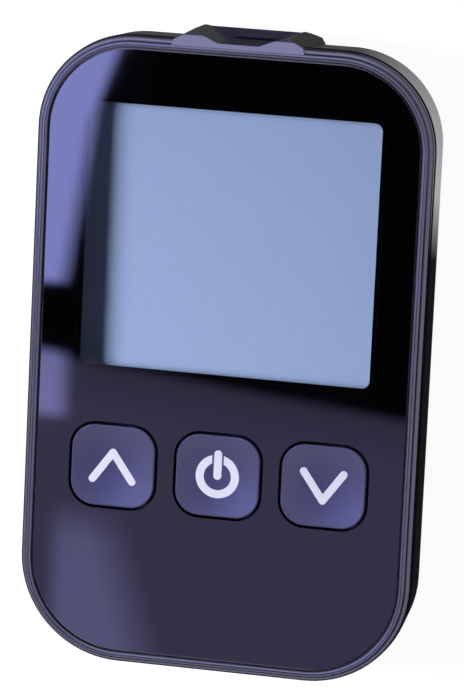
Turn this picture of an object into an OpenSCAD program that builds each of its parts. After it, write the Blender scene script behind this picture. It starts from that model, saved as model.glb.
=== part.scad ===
// Handheld blood glucose meter, lying on its back with the display facing up.
//
// +Z is out of the display, +X is the meter's right and +Y points to the end
// that takes the test strip. The origin is on the surface that the meter lies
// on, below the middle of its bounding box. All lengths are in millimetres.

/* [Case] */
// Width of the case at the line where its two shells meet
case_w = 59.2; // [56:0.1:62]
// Length of the case, without the strip port's brow
case_l = 94; // [92:0.1:98]
// Height of the case, up to the crest of the rim
case_h = 16; // [15.6:0.1:18]
// Corner radius at the strip end, seen from the front
port_corner_r = 14.3; // [13.8:0.1:16]
// Corner radius at the foot end, seen from the front
foot_corner_r = 15.4; // [14:0.1:17]
// Radius that rounds the case from its sides into its back
back_edge_r = 6.5; // [5:0.1:6.8]
// How far the sides of the rear shell draw in, from the parting line down
side_draft = 0.5; // [0.3:0.05:0.6]
// Wall of the rear shell
wall = 1.6; // [1.2:0.05:1.8]
// Depth of the parting line below the crest of the rim
parting_depth = 2.4; // [2.2:0.1:2.6]
// Width of the shadow gap along the parting line
shadow_gap = 0.3; // [0.15:0.05:0.4]

/* [Rim and window] */
// Width of the rim round the window panel
rim_w = 1.8; // [1.7:0.05:2]
// Radius of the rim's rounded ridge
ridge_r = 0.5; // [0.4:0.02:0.55]
// Depth of the panel's face below the crest of the rim
panel_drop = 0.4; // [0.3:0.05:0.6]
// Radius of the shoulder that the front shell has outside its ridge
shoulder_r = 0.7; // [0.6:0.02:0.74]
// Thickness of the window panel
panel_t = 1; // [0.8:0.05:1.1]
// Bevel round the edges of the panel
panel_bevel = 0.2; // [0.1:0.02:0.3]
// Thickness of the printed mask behind the panel
mask_t = 0.2; // [0.1:0.05:0.3]
// Thickness of the deck that carries the panel
deck_t = 1.2; // [1:0.05:1.3]
// Width of the clear window over the display
window_w = 43.6; // [40:0.1:44.2]
// Length of the clear window over the display
window_l = 39.1; // [36:0.1:39.8]
// Corner radius of the clear window
window_r = 1.2; // [0.8:0.1:2]
// Distance from the strip end of the case to the clear window
window_y = 10.1; // [9.8:0.05:10.8]

/* [Keys] */
// Width of a key's cap
key_w = 12.6; // [12.2:0.1:12.8]
// Length of a key's cap
key_l = 12.2; // [11.8:0.1:12.4]
// Corner radius of a key's cap
key_r = 3.6; // [3:0.1:4.2]
// Rounding of the edge of a key's top
key_edge_r = 0.25; // [0.15:0.05:0.4]
// Gap between a key and its hole
key_gap = 0.45; // [0.35:0.05:0.55]
// Distance between neighbouring keys
key_pitch = 15.9; // [15.6:0.1:16.2]
// Distance from the clear window to the middle of the keys
key_y = 14.95; // [14.3:0.05:15.6]
// Height of a key above the panel's face
key_proud = 0.25; // [0.1:0.05:0.35]
// How far a key travels when it is pressed
key_travel = 0.5; // [0.3:0.05:0.6]

/* [Strip port] */
// Half width of the port's brow where it leaves the end of the case
brow_base = 9.6; // [9:0.1:10.4]
// Half width of the flat front of the brow
brow_top = 7.4; // [7.2:0.1:8.2]
// How far the brow stands out of the end of the case
brow_out = 1; // [0.8:0.05:1.2]
// Half width of the bottom of the finger notch
notch_base = 3; // [3:0.1:3.4]
// Half width of the finger notch where it leaves the brow
notch_top = 6.4; // [6:0.1:6.8]
// How far the notch cuts back behind the end of the case
notch_in = 0.35; // [0.2:0.05:0.45]
// Lean of the notch's back wall, in degrees
notch_draft = 2.8; // [2:0.2:3.2]
// Height of the shelf that a strip slides over
shelf_z = 3.6; // [3.2:0.1:4]
// Width of a test strip
strip_w = 5.6; // [5:0.1:5.8]
// Height of the slot that a strip enters
slot_h = 1.2; // [1:0.1:1.4]
// Clearance between a strip and each side of its slot
strip_clear = 0.2; // [0.15:0.05:0.3]

/* [Battery] */
// Diameter of a coin cell
cell_d = 20; // [19.6:0.1:20.2]
// Thickness of a coin cell
cell_t = 3.2; // [3:0.05:3.25]
// Clearance round a coin cell
cell_clear = 0.3; // [0.2:0.05:0.4]
// Width of the battery door
door_w = 26; // [25.4:0.1:26.4]
// How far the battery door reaches past the upper cell
door_y = 2.4; // [2:0.1:2.8]
// Thickness of the battery door
door_t = 1.5; // [1.3:0.05:1.5]
// Height that the door reaches up the foot end of the case
door_rise = 4.4; // [4:0.1:4.8]
// Gap round the battery door
door_gap = 0.2; // [0.15:0.05:0.3]
// How far the door slides before it lifts off
door_travel = 8; // [6:0.5:8.5]
// Space between the wall of the foot end and the battery bay
bay_margin = 3.2; // [2.8:0.1:3.6]

/* [Board and display] */
// Height of the underside of the main board
board_z = 7.6; // [7.5:0.05:7.8]
// Thickness of the main board
board_t = 1; // [0.8:0.05:1.6]
// Gap between the main board and the sides of the rear shell
board_gap = 1; // [0.6:0.1:1.4]
// Thickness of each of the display's two glass plates
glass_t = 0.7; // [0.5:0.05:1.1]
// Thickness of the display's polarizer and of its reflector
film_t = 0.2; // [0.15:0.01:0.22]
// Border of the display's glass round the clear window
glass_border = 1.25; // [1:0.05:1.3]
// Wall of the frame that holds the display
frame_wall = 0.8; // [0.6:0.05:0.9]

/* [Screws] */
// Radius of a housing screw's shank
screw_r = 0.95; // [0.8:0.05:1]
// Radius of a housing screw's head
screw_head_r = 1.8; // [1.6:0.05:1.9]
// Height of a housing screw's head
screw_head_h = 1.2; // [1:0.05:1.4]
// Depth of the pocket that a screw's head sits in
screw_pocket = 3; // [2.8:0.1:3.4]
// Gap between a screw's head and its pocket
screw_gap = 0.25; // [0.2:0.05:0.3]
// Wall round a screw's hole
boss_wall = 0.9; // [0.8:0.05:1]
// Distance of the two screws at the strip end from that end
screw_end = 5.5; // [5.2:0.1:5.7]
// Distance of the two screws at the foot from the foot end
foot_screw_end = 12.9; // [12.7:0.1:13.2]
// Distance of the two screws at the foot from the sides of the case
foot_screw_side = 10.7; // [10.5:0.1:11]

/* [Hidden] */
$fn = 64;
// Gap between fixed pieces that lie against each other
fit_gap = 0.1;
// Overlap that fuses two shapes of one piece, or cuts clear of a face
lap = 0.6;
// Solder or adhesive under a piece that is fixed to the board
solder = 0.02;

// Levels, from the back of the case up
case_hw = case_w / 2;
case_hl = case_l / 2;
parting_z = case_h - parting_depth;
panel_z = case_h - panel_drop;
mask_z = panel_z - panel_t;
deck_top = mask_z - mask_t;
deck_z = deck_top - deck_t;
board_top = board_z + board_t;
polarizer_z = deck_z - fit_gap - film_t;
glass_z = polarizer_z - 2 * glass_t;
reflector_z = glass_z - film_t;
ceiling_t = 0.9;
hook_z = wall + 0.15;
hook_t = 0.7;
cell_z = hook_z + hook_t + 0.15;
ceiling_z = cell_z + cell_t + 0.7;

// The shell's round back edge starts this far in from the parting line
back_inset = back_edge_r + side_draft;
// The swept edge of the case reaches this far in, and a core fills the rest
sweep_depth = back_inset + 3;
// The shoulder of the front shell stays this far inside the parting line, and
// the shell's foot below it a little further in, which leaves a shadow line
rim_inset = 0.05;
rim_undercut = 0.25;
shoulder_drop = 0.65;
panel_inset = rim_w + 0.05;
lip_inset = wall + 0.15;
lip_t = 1;
lip_h = 1;

// Middles of the window and of the keys, from the middle of the case
window_mid = case_hl - window_y - window_l / 2;
keys_mid = window_mid - window_l / 2 - key_y;

// Openings of the keys in the panel, the mask and the deck
hole_w = key_w + 2 * key_gap;
hole_l = key_l + 2 * key_gap;
hole_r = key_r + key_gap;
key_top = panel_z + key_proud;
flange_out = 1;
flange_t = 0.8;
flange_gap = 0.2;
flange_z = deck_z - flange_gap - flange_t;
// The rubber sheet under the keys, with one hollow bell for each
sheet_t = 0.5;
bell_r = 4.6;
bell_top_r = 2.3;
bell_wall = 0.45;
stem_r = 1.6;
dome_r = 2.6;
dome_h = 0.35;
sheet_z = board_top + 0.05;
sheet_top = sheet_z + sheet_t;
bell_h = (flange_z - sheet_top) / 2;
stem_z = sheet_top + bell_h + key_travel + fit_gap;

// Strip port
brow_y = case_hl + brow_out;
brow_foot_r = back_edge_r - 1;
block_hw = 9.5;
block_gap = 0.3;
block_y = case_hl - wall - 1.4;
socket_depth = 1.2;
socket_y = block_y - socket_depth;
slot_w = strip_w + 2 * strip_clear;
connector_w = 12;
connector_l = 15;
connector_y = socket_y - fit_gap;
connector_back = connector_y - connector_l;
connector_floor = 1;
connector_z = shelf_z - connector_floor;
contact_count = 5;
contact_pitch = 1;
contact_w = 0.6;
contact_t = 0.25;
contact_gap = 0.1;
contact_back = connector_back + 2.6;
contact_l = 7.5;
contact_dip = 5;
contact_rise = 0.9;
contact_low = shelf_z + 0.75;

// Battery bay
cell_r = cell_d / 2;
cell_pitch = cell_d + 2 * cell_clear;
bay_hw = cell_r + cell_clear + 0.4;
bay_wall = 1.2;
bay_slack = 0.6;
bay_back_y = bay_margin + wall + bay_wall - case_hl;
cell_lower_y = bay_back_y + bay_slack + cell_clear + cell_r;
cell_upper_y = cell_lower_y + cell_pitch;
bay_front_y = cell_upper_y + cell_r + cell_clear + 0.2;
// The end of the door that lies on the back, and the feet of the bay past it
door_end = cell_upper_y + cell_r + door_y;
bay_foot_y = door_end + door_gap + 0.3;
bay_foot_l = 1.8;
rail_z = hook_z + hook_t + 0.2;
rail_t = 0.9;
rail_out = 3.9;
rail_l = door_travel;
hook_w = 1.3;
hook_l = door_travel - 2;
hook_ys = [door_end - 9, door_end - 6.4 - cell_pitch];
hook_x = door_w / 2 - 0.9;
rail_web = 1.2;

// Board, and what stands on it
board_inset = wall + side_draft + board_gap;
frame_z = board_top + 0.05;
frame_floor = 0.9;
frame_ledge = 7;
glass_w = window_w + 2 * glass_border;
glass_l = window_l + 2 * glass_border;
deck_window_extra = 0.7;
zebra_w = 2;
zebra_l = glass_w - 4;
zebra_inset = 1.4;
zebra_gap = 0.1;
// The first row of parts under the board stands just past the bay's feet, and
// the large chip and the buzzer stand beside the strip connector
parts_y = bay_foot_y + bay_foot_l + 0.7;
parts_side = 13;
chip_row_y = connector_back + 1.4;
lead_out = 0.9;
lead_w = 0.3;
lead_t = 0.33;

// Screws: each is [x, y]
screw_places = [
    for (s = [-1, 1]) [s * (case_hw - port_corner_r), case_hl - screw_end],
    for (s = [-1, 1]) [s * (case_hw - foot_screw_side), foot_screw_end - case_hl]
];
screw_hole_r = screw_r + 0.2;
boss_r = screw_head_r + screw_gap + boss_wall;
post_r = screw_r + 1.2;
post_z = board_top + fit_gap;
screw_tip_z = deck_z - deck_t;
drive_w = 0.44;
drive_l = 2.2;
drive_h = 0.6;

// Finishes
black_shell = [0.16, 0.16, 0.21];
violet_key = [0.30, 0.30, 0.43];
board_green = [0.10, 0.33, 0.22];
steel = [0.78, 0.78, 0.80];
gold = [0.83, 0.68, 0.36];
rubber_grey = [0.45, 0.46, 0.50];

// ---------------------------------------------------------------------------
// Outlines and sweeps
// ---------------------------------------------------------------------------

// A rectangle hw by hl from its middle, with radius rp at its +Y corners and
// rf at its -Y corners, drawn in by inset all round
module outline(hw, hl, rp, rf, inset = 0) {
    w = hw - inset;
    l = hl - inset;
    top = rp - inset;
    foot = rf - inset;
    translate([-w, foot - l]) square([2 * w, 2 * l - foot - top]);
    translate([top - w, l - top - 0.01]) square([2 * (w - top), top + 0.01]);
    translate([foot - w, -l]) square([2 * (w - foot), foot + 0.01]);
    for (s = [-1, 1]) {
        translate([s * (w - top), l - top]) circle(r = top);
        translate([s * (w - foot), foot - l]) circle(r = foot);
    }
}

// One straight stretch of a sweep, along Y and centred on it
module stretch(len) {
    translate([0, len / 2, 0]) rotate([90, 0, 0]) linear_extrude(len) children();
}

// Carries a profile round that outline. The profile's X runs outwards from
// the outline, so what lies inside it has a negative X, and its Y is height.
module sweep(hw, hl, rp, rf) {
    for (s = [-1, 1])
        translate([s * hw, (rf - rp) / 2, 0]) rotate([0, 0, s < 0 ? 180 : 0])
            stretch(2 * hl - rp - rf) children();
    translate([0, hl, 0]) rotate([0, 0, 90]) stretch(2 * (hw - rp)) children();
    translate([0, -hl, 0]) rotate([0, 0, -90]) stretch(2 * (hw - rf)) children();
    corners = [[hw - rp, hl - rp, 0, rp], [rp - hw, hl - rp, 90, rp],
               [rf - hw, rf - hl, 180, rf], [hw - rf, rf - hl, 270, rf]];
    for (c = corners)
        translate([c[0], c[1], 0]) rotate([0, 0, c[2]])
            rotate_extrude(angle = 90) translate([c[3], 0]) children();
}

// The brow makes the case longer at one end, so every piece is drawn round the
// middle of the case and moved to put the middle of the whole at the origin
module centred() {
    translate([0, -brow_out / 2, 0]) children();
}

module case_outline(inset = 0) {
    outline(case_hw, case_hl, port_corner_r, foot_corner_r, inset);
}

module case_sweep() {
    sweep(case_hw, case_hl, port_corner_r, foot_corner_r) children();
}

module plate(z, t, inset) {
    translate([0, 0, z]) linear_extrude(t) case_outline(inset);
}

// A block with a rounded plan and, where edge is not 0, a rounded top edge
module soft_block(w, l, r, z, top, edge = 0) {
    depth = r - 0.3;
    sweep(w / 2, l / 2, r, r) {
        union() {
            translate([-depth, z]) square([depth, top - edge - z]);
            translate([-depth, z]) square([depth - edge, top - z]);
            if (edge > 0)
                translate([-edge, top - edge]) circle(r = edge, $fn = 32);
        }
    }
    translate([0, 0, z]) linear_extrude(top - z)
        outline(w / 2, l / 2, r, r, depth - 0.3 * r);
}

// A plain block with a rounded plan
module tile(w, l, r, z, t) {
    translate([0, 0, z]) linear_extrude(t) outline(w / 2, l / 2, r, r);
}

// What follows the three keys is placed by this
module at_keys() {
    for (i = [-1:1]) translate([i * key_pitch, keys_mid, 0]) children();
}

// ---------------------------------------------------------------------------
// Strip port
// ---------------------------------------------------------------------------

// Plan of the brow, which stands out of the end of the case by out
module brow_plan(out, back = 3) {
    polygon([[-brow_base - 0.3 * back, case_hl - back],
             [-brow_base, case_hl - rim_inset], [-brow_top, case_hl + out],
             [brow_top, case_hl + out], [brow_base, case_hl - rim_inset],
             [brow_base + 0.3 * back, case_hl - back]]);
}

// The notch for the strip and the fingertip, cut down through the brow to the
// shelf, with a back wall that leans in towards it
module notch() {
    slope = (notch_top - notch_base) / (brow_out + notch_in);
    out = brow_out + notch_in + 3;
    translate([0, case_hl - notch_in, parting_z]) rotate([-notch_draft, 0, 0])
        translate([0, 0, shelf_z - parting_z - 1]) linear_extrude(case_h + 1 - shelf_z)
            polygon([[-notch_base, 0], [-notch_base - slope * out, out],
                     [notch_base + slope * out, out], [notch_base, 0]]);
}

module notch_above_shelf() {
    intersection() {
        notch();
        translate([-case_hw, 0, shelf_z]) cube([case_w, case_l, case_h]);
    }
}

// ---------------------------------------------------------------------------
// Front shell
// ---------------------------------------------------------------------------

// A ridge beside the panel, a round shoulder outside it and a foot that is set
// in, where the shadow gap runs
module rim_profile() {
    foot = parting_z + shadow_gap;
    into_deck = lip_inset + 0.5;
    neck = rim_inset + rim_undercut;
    shoulder_x = -rim_inset - shoulder_r;
    translate([-into_deck, parting_z])
        square([into_deck - shadow_gap - neck, foot + 0.1 - parting_z]);
    translate([-into_deck, foot]) square([into_deck - neck, deck_top - foot]);
    translate([-rim_w, foot]) square([rim_w + shoulder_x, panel_z - 0.3 - foot]);
    translate([shoulder_x, case_h - shoulder_drop - shoulder_r])
        circle(r = shoulder_r, $fn = 32);
    translate([ridge_r + 0.05 - rim_w, case_h - ridge_r]) circle(r = ridge_r, $fn = 32);
}

module front_brow() {
    intersection() {
        translate([0, 0, parting_z + shadow_gap])
            linear_extrude(parting_depth - shadow_gap) brow_plan(brow_out, 1.3);
        translate([-case_hw, 0, 0]) rotate([90, 0, 90]) linear_extrude(case_w)
            polygon([[case_hl - 1.3, 0], [case_hl - 1.3, case_h - 0.15],
                     [case_hl - 0.9, case_h - 0.12],
                     [case_hl + brow_out - 0.35, case_h - 0.75],
                     [case_hl + brow_out, case_h - 1.15], [case_hl + brow_out, 0]]);
    }
}

module key_cutters(z, top, extra = 0) {
    at_keys() tile(hole_w + 2 * extra, hole_l + 2 * extra, hole_r + extra, z, top - z);
}

module front_housing() {
    color(black_shell) centred() difference() {
        union() {
            case_sweep() rim_profile();
            plate(deck_z, deck_t, lip_inset);
            difference() {
                plate(deck_z - lip_h, lip_h + 0.2, lip_inset);
                plate(deck_z - lip_h - lap, lip_h + lap, lip_inset + lip_t);
            }
            front_brow();
            for (p = screw_places)
                translate([p[0], p[1], post_z])
                    cylinder(r = post_r, h = deck_z + 0.2 - post_z);
        }
        translate([0, window_mid, 0])
            tile(window_w + 2 * deck_window_extra, window_l + 2 * deck_window_extra,
                 window_r + deck_window_extra, deck_z - lap, deck_t + 2 * lap);
        key_cutters(deck_z - lap, deck_top + lap);
        notch_above_shelf();
        translate([-block_hw - block_gap, block_y - block_gap, 0])
            cube([2 * (block_hw + block_gap), case_l, deck_z]);
        for (p = screw_places)
            translate([p[0], p[1], post_z - lap])
                cylinder(r = screw_r + 0.05, h = screw_tip_z + 0.3 + lap - post_z);
    }
}

// Bevel to cut from the top edge of an outline that stands at z
module bevel_profile(z) {
    polygon([[-panel_bevel, z + 0.01], [0.01, z - panel_bevel],
             [lap, z - panel_bevel], [lap, z + 0.01]]);
}

module window_panel() {
    hw = case_hw - panel_inset;
    hl = case_hl - panel_inset;
    color([0.02, 0.02, 0.03, 0.9]) centred() difference() {
        plate(mask_z, panel_t, panel_inset);
        sweep(hw, hl, port_corner_r - panel_inset, foot_corner_r - panel_inset)
            bevel_profile(panel_z);
        key_cutters(mask_z - lap, panel_z + lap);
        at_keys() sweep(hole_w / 2, hole_l / 2, hole_r, hole_r)
            translate([0, 2 * panel_z - panel_bevel]) mirror([0, 1])
                polygon([[-0.4, panel_z + 0.01], [-0.4, panel_z - panel_bevel - 0.4],
                         [0, panel_z - panel_bevel - 0.4], [0, panel_z],
                         [0.1, panel_z]]);
    }
}

module window_mask() {
    color([0.01, 0.01, 0.02]) centred() difference() {
        plate(deck_top, mask_t, panel_inset + 0.1);
        translate([0, window_mid, 0])
            tile(window_w, window_l, window_r, deck_top - lap, mask_t + 2 * lap);
        key_cutters(deck_top - lap, mask_z + lap);
    }
}

// ---------------------------------------------------------------------------
// Display
// ---------------------------------------------------------------------------

module display_tile(inset, z, t) {
    translate([0, window_mid, 0])
        tile(glass_w - 2 * inset, glass_l - 2 * inset, 0.5, z, t);
}

module lcd_gasket() {
    gasket_in = 0.75 * glass_border - deck_window_extra * 0.3;
    color([0.12, 0.12, 0.13]) centred() difference() {
        display_tile(0, polarizer_z, film_t + fit_gap);
        display_tile(gasket_in, polarizer_z - lap, film_t + fit_gap + 2 * lap);
    }
}

module lcd_polarizer() {
    color([0.55, 0.65, 0.80, 0.5]) centred() display_tile(glass_border - 0.35, polarizer_z, film_t);
}

module lcd_front_glass() {
    color([0.70, 0.80, 0.85, 0.4]) centred() display_tile(0, glass_z + glass_t, glass_t);
}

module lcd_rear_glass() {
    color([0.68, 0.78, 0.83, 0.4]) centred() display_tile(0, glass_z, glass_t);
}

module lcd_reflector() {
    color([0.58, 0.65, 0.82]) centred() display_tile(zebra_inset + zebra_w, reflector_z, film_t);
}

// Places what follows the display's two rows of contacts
module at_zebras() {
    row = glass_l / 2 - zebra_inset - zebra_w / 2;
    for (s = [-1, 1]) translate([0, window_mid + s * row, 0]) children();
}

module lcd_frame() {
    color([0.85, 0.85, 0.84]) centred() difference() {
        display_tile(-frame_wall, frame_z, polarizer_z - frame_z);
        display_tile(-0.05, reflector_z, case_h);
        display_tile(frame_ledge, frame_z - lap, reflector_z - frame_floor - frame_z + lap);
        at_zebras() translate([-zebra_l / 2 - zebra_gap, -zebra_w / 2 - zebra_gap, 0])
            cube([zebra_l + 2 * zebra_gap, zebra_w + 2 * zebra_gap, case_h]);
    }
}

module zebra_strips() {
    color([0.75, 0.45, 0.55]) centred() at_zebras()
        translate([-zebra_l / 2, -zebra_w / 2, board_top + solder])
            cube([zebra_l, zebra_w, glass_z - 2 * solder - board_top]);
}

// ---------------------------------------------------------------------------
// Keys
// ---------------------------------------------------------------------------

// A cap whose flange, under the deck, keeps it from falling out
module key_cap() {
    soft_block(key_w, key_l, key_r, flange_z + 0.2, key_top, key_edge_r);
    tile(key_w + 2 * flange_out, key_l + 2 * flange_out, key_r + flange_out,
         flange_z, flange_t);
    translate([0, 0, stem_z]) cylinder(r = stem_r, h = flange_z + 0.2 - stem_z);
}

module button_up() {
    color(violet_key) centred() translate([-key_pitch, keys_mid, 0]) key_cap();
}

module button_power() {
    color(violet_key) centred() translate([0, keys_mid, 0]) key_cap();
}

module button_down() {
    color(violet_key) centred() translate([key_pitch, keys_mid, 0]) key_cap();
}

// A hollow rubber bell, which carries the key and folds when it is pressed
module bell() {
    cylinder(r1 = bell_r, r2 = bell_top_r, h = bell_h);
}

module keypad_sheet() {
    sheet_w = 2 * key_pitch + 2 * bell_r + 3;
    color(rubber_grey) centred() difference() {
        union() {
            translate([0, keys_mid, 0])
                tile(sheet_w, 2 * bell_r + 3, 2, sheet_z, sheet_t);
            at_keys() translate([0, 0, sheet_z + sheet_t]) bell();
        }
        at_keys() translate([0, 0, sheet_z - 0.01]) {
            cylinder(r1 = bell_r - bell_wall, r2 = bell_top_r - bell_wall,
                     h = sheet_t + bell_h - bell_wall);
        }
    }
}

// Height of a snap dome at radius r, on the ball that the dome is a slice of
function dome_height(r) =
    let (ball_r = (dome_r * dome_r + dome_h * dome_h) / (2 * dome_h))
    sqrt(ball_r * ball_r - r * r) - ball_r + dome_h;

module dome_contacts() {
    steps = 6;
    color(steel) centred() at_keys() translate([0, 0, board_top + solder]) rotate_extrude()
        polygon(concat([[0, 0]], [for (i = [steps:-1:0])
            [dome_r * i / steps, dome_height(dome_r * i / steps)]]));
}

// ---------------------------------------------------------------------------
// Main board
// ---------------------------------------------------------------------------

module main_board() {
    color(board_green) centred() difference() {
        plate(board_z, board_t, board_inset);
        for (p = screw_places)
            translate([p[0], p[1], board_z - lap])
                cylinder(r = screw_hole_r, h = board_t + 2 * lap);
    }
}

// A chip with leads along two or four sides, hanging under the board
module chip(w, l, t, leads, sides = 4) {
    pitch = (w - 4 * lead_w) / (leads - 1);
    translate([-w / 2, -l / 2, board_z - t]) cube([w, l, t - fit_gap]);
    for (k = [0:sides - 1]) rotate([0, 0, 360 / sides * k])
        for (i = [0:leads - 1])
            translate([i * pitch - w / 2 + 1.5 * lead_w, l / 2 - lead_w,
                       board_z - solder - lead_t])
                cube([lead_w, lead_out + lead_w, lead_t]);
}

module microcontroller() {
    side = 10;
    thick = 1.4;
    color([0.10, 0.10, 0.11]) centred() translate([-parts_side, chip_row_y, 0])
        chip(side, side, thick, 12);
}

module memory_chip() {
    chip_w = 5;
    chip_l = 4;
    thick = 1.3;
    color([0.12, 0.12, 0.13]) centred() translate([-parts_side, parts_y + 3, 0])
        chip(chip_w, chip_l, thick, 4, 2);
}

// A flat can with round ends
module crystal() {
    can_r = 1;
    can_l = 5;
    can_h = 1.28;
    color(steel) centred() translate([-2, parts_y + 5, board_z - solder - can_h])
        linear_extrude(can_h) {
            for (s = [-1, 1]) translate([s * (can_l / 2 - can_r), 0]) circle(r = can_r);
            square([can_l - 2 * can_r, 2 * can_r], center = true);
        }
}

module board_components() {
    part_w = 1;
    part_l = 1.8;
    part_t = 0.8;
    part_z = board_z - solder - part_t;
    row_pitch = 6;
    column_pitch = 4;
    outer = 23;
    inner = 20.5;
    color([0.72, 0.62, 0.48]) centred() translate([0, parts_y, part_z]) {
        for (x = [-outer, -inner, inner, outer], i = [0:2])
            translate([x - part_w / 2, i * row_pitch, 0]) cube([part_w, part_l, part_t]);
        for (i = [-2:2])
            translate([i * column_pitch, 0, 0]) cube([part_l, part_w, part_t]);
    }
}

module buzzer() {
    buzzer_r = 4.5;
    buzzer_t = 2.2;
    hole_size = 1;
    color([0.15, 0.15, 0.16]) centred()
        translate([parts_side, chip_row_y, board_z - solder - buzzer_t]) difference() {
            cylinder(r = buzzer_r, h = buzzer_t);
            translate([0, 0, -lap]) cylinder(r = hole_size, h = hole_size + lap);
        }
}

module strip_connector() {
    color([0.90, 0.88, 0.82]) centred() difference() {
        translate([-connector_w / 2, connector_back, connector_z])
            cube([connector_w, connector_l, board_z - solder - connector_z]);
        translate([-slot_w / 2, contact_back + 0.4, shelf_z])
            cube([slot_w, connector_l, slot_h]);
        for (i = [0:contact_count - 1])
            translate([contact_x(i) - contact_w / 2 - contact_gap,
                       contact_back - 2 * contact_gap, contact_low - 1.5 * contact_gap])
                cube([contact_w + 2 * contact_gap, contact_l + 1.5, board_z - shelf_z]);
    }
}

function contact_x(i) = (i - (contact_count - 1) / 2) * contact_pitch;

// Bent leaves that press on the strip, soldered to the board
module strip_contacts() {
    top = board_z - solder - contact_low;
    color(gold) centred() for (i = [0:contact_count - 1])
        translate([contact_x(i) - contact_w / 2, contact_back, contact_low])
            rotate([90, 0, 90]) linear_extrude(contact_w)
                polygon([[0, top], [0, contact_rise], [contact_dip, 0],
                         [contact_l, contact_rise], [contact_l, contact_rise + contact_t],
                         [contact_dip, contact_t],
                         [contact_t, contact_rise + contact_t], [contact_t, top]]);
}

// ---------------------------------------------------------------------------
// Rear shell
// ---------------------------------------------------------------------------

// Half of the rear shell's cross-section, drawn in by t
module back_profile(t, top) {
    polygon([[-sweep_depth, t], [-back_inset, t], [-back_inset, back_edge_r],
             [-side_draft - t, back_edge_r], [-t, parting_z], [-t, top],
             [-sweep_depth, top]]);
    intersection() {
        translate([-back_inset, back_edge_r]) circle(r = back_edge_r - t);
        translate([-sweep_depth, 0]) square([sweep_depth, back_edge_r]);
    }
}

// The rear shell's form as a solid, drawn in by t and cut off at top
module back_form(t, top) {
    case_sweep() back_profile(t, top);
    plate(t, top - t, sweep_depth - 1);
}

// The brow's lower part, which rounds down into the back of the case
module rear_brow() {
    intersection() {
        linear_extrude(parting_z) brow_plan(brow_out, brow_foot_r);
        translate([-case_hw, 0, 0]) rotate([90, 0, 90]) linear_extrude(case_w) {
            translate([brow_y - brow_foot_r, brow_foot_r]) circle(r = brow_foot_r);
            translate([0, brow_foot_r]) square([brow_y, case_h]);
            square([brow_y - brow_foot_r, case_h]);
        }
    }
}

// Room in the rear shell for the door, with a gap round it
module door_space(gap) {
    translate([-door_w / 2 - gap, -case_l, -lap])
        cube([door_w + 2 * gap, case_l + door_end + gap, door_rise + gap + lap]);
}

module rails() {
    for (s = [0, 1]) mirror([s, 0, 0]) {
        for (y = hook_ys) {
            translate([bay_hw, y + 1 - rail_l, rail_z])
                cube([rail_out + rail_web / 2, rail_l, rail_t]);
            translate([bay_hw + rail_out, y + 1 - rail_l, wall - 0.2])
                cube([rail_web, rail_l, rail_z + rail_t + 0.2 - wall]);
        }
    }
}

module battery_bay() {
    bay_l = bay_front_y - bay_back_y;
    difference() {
        translate([-bay_hw - bay_wall, bay_back_y - bay_wall, rail_z])
            cube([2 * (bay_hw + bay_wall), bay_l + 2 * bay_wall,
                  ceiling_z + ceiling_t - rail_z]);
        translate([-bay_hw, bay_back_y, 0]) cube([2 * bay_hw, bay_l, ceiling_z]);
        // Windows for the contacts
        for (y = [cell_upper_y, cell_lower_y]) {
            translate([-1.4, y + 3.5, 0]) cube([2.8, 2.2, case_h]);
            translate([-bay_hw - bay_wall - lap, y - 1.6, ceiling_z - 2.6])
                cube([bay_wall + lap + 1.4, 3.2, case_h]);
        }
    }
    rails();
    // Feet that tie the bay to the shell beyond the door's inner end
    foot_w = 2.4;
    for (s = [-1, 1]) translate([s * (bay_hw - 1) - foot_w / 2, 0, 0]) {
        translate([0, bay_front_y, rail_z])
            cube([foot_w, bay_foot_y + 1 - bay_front_y, ceiling_z + ceiling_t - rail_z]);
        translate([0, bay_foot_y, wall - 0.2])
            cube([foot_w, bay_foot_l, ceiling_z + ceiling_t + 0.2 - wall]);
    }
}

module rear_housing() {
    color(black_shell) centred() difference() {
        union() {
            difference() {
                union() {
                    back_form(0, parting_z);
                    rear_brow();
                }
                back_form(wall, parting_z + lap);
                door_space(door_gap);
            }
            // Solid block behind the strip port
            intersection() {
                union() {
                    translate([-block_hw, block_y, wall - 0.2])
                        cube([2 * block_hw, case_l, deck_z - wall]);
                    translate([-block_hw, socket_y, wall - 0.2])
                        cube([2 * block_hw, case_l, board_z - wall]);
                }
                back_form(0.5, parting_z);
            }
            battery_bay();
            intersection() {
                for (p = screw_places)
                    translate([p[0], p[1], 0])
                        cylinder(r = boss_r, h = board_z - fit_gap);
                back_form(0.5, parting_z);
            }
        }
        notch_above_shelf();
        translate([-slot_w / 2, socket_y - lap, shelf_z])
            cube([slot_w, wall + 5, slot_h]);
        for (p = screw_places) translate([p[0], p[1], -lap]) {
            cylinder(r = screw_hole_r, h = case_h);
            cylinder(r = screw_head_r + screw_gap, h = screw_pocket + lap);
        }
    }
}

// ---------------------------------------------------------------------------
// Battery door and cells
// ---------------------------------------------------------------------------

// Raised ribs in a shallow thumb dish
module thumb_grip() {
    dish_w = 14;
    dish_l = 9;
    grip_y = door_end - 12;
    difference() {
        translate([0, grip_y, -lap]) tile(dish_w, dish_l, 3, 0, lap + 0.5);
        for (i = [-2:2])
            translate([-dish_w / 2 + 1.5, grip_y + i * 1.6 - 0.3, 0.15])
                cube([dish_w - 3, 0.6, 1]);
    }
}

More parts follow.
